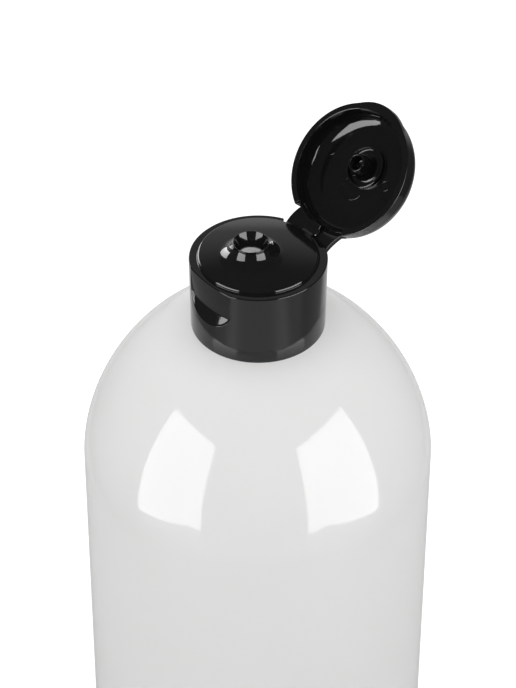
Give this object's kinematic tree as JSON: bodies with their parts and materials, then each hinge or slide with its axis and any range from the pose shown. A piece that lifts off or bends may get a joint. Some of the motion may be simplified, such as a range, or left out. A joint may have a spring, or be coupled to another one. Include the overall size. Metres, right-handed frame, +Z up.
{
  "type": "flip-top bottle",
  "caption": "Round bottle with a domed shoulder and a screw-on flip-top dispensing closure with spout, pintle and snap hinge.",
  "frame": {"origin": "centre of the bottle's foot ring, on the surface that the bottle stands on", "axes": "+Z up along the bottle's axis, -Y towards the closure's thumb recess, +Y towards the snap hinge, +X to the right of someone who faces the recess"},
  "size_m": [0.0734, 0.0734, 0.1797],
  "materials": {
    "bottle_plastic": "glossy milky white blown polyethylene",
    "closure_plastic": "polished black moulded polypropylene",
    "liner_foam": "matt white foamed polyethylene"
  },
  "bodies": {
    "bottle": {"bottle": "bottle_plastic"},
    "liner": {"liner": "liner_foam"},
    "cap": {"cap_base": "closure_plastic", "hinge_strap_left": "closure_plastic", "hinge_strap_right": "closure_plastic", "hinge_film": "closure_plastic"},
    "lid": {"lid": "closure_plastic"}
  },
  "joints": [
    {"name": "cap_lift", "type": "slide", "parent": "bottle", "child": "liner", "axis": [0, 0, 1], "range_m": [0, 0.00476]},
    {"name": "cap_turn", "type": "hinge", "parent": "liner", "child": "cap", "pos_m": [0, 0, 0.15833], "axis": [0, 0, 1], "range_deg": [0, 540]},
    {"name": "lid_flip", "type": "hinge", "parent": "cap", "child": "lid", "pos_m": [0, 0.0143, 0.15833], "axis": [-1, 0, 0], "range_deg": [-132.5, 47.5], "deforming": ["hinge_strap_left", "hinge_strap_right", "hinge_film"]}
  ],
  "couplings": [
    {"joint": "cap_lift", "follows": "cap_turn", "m_per_rad": 0.00050531}
  ]
}
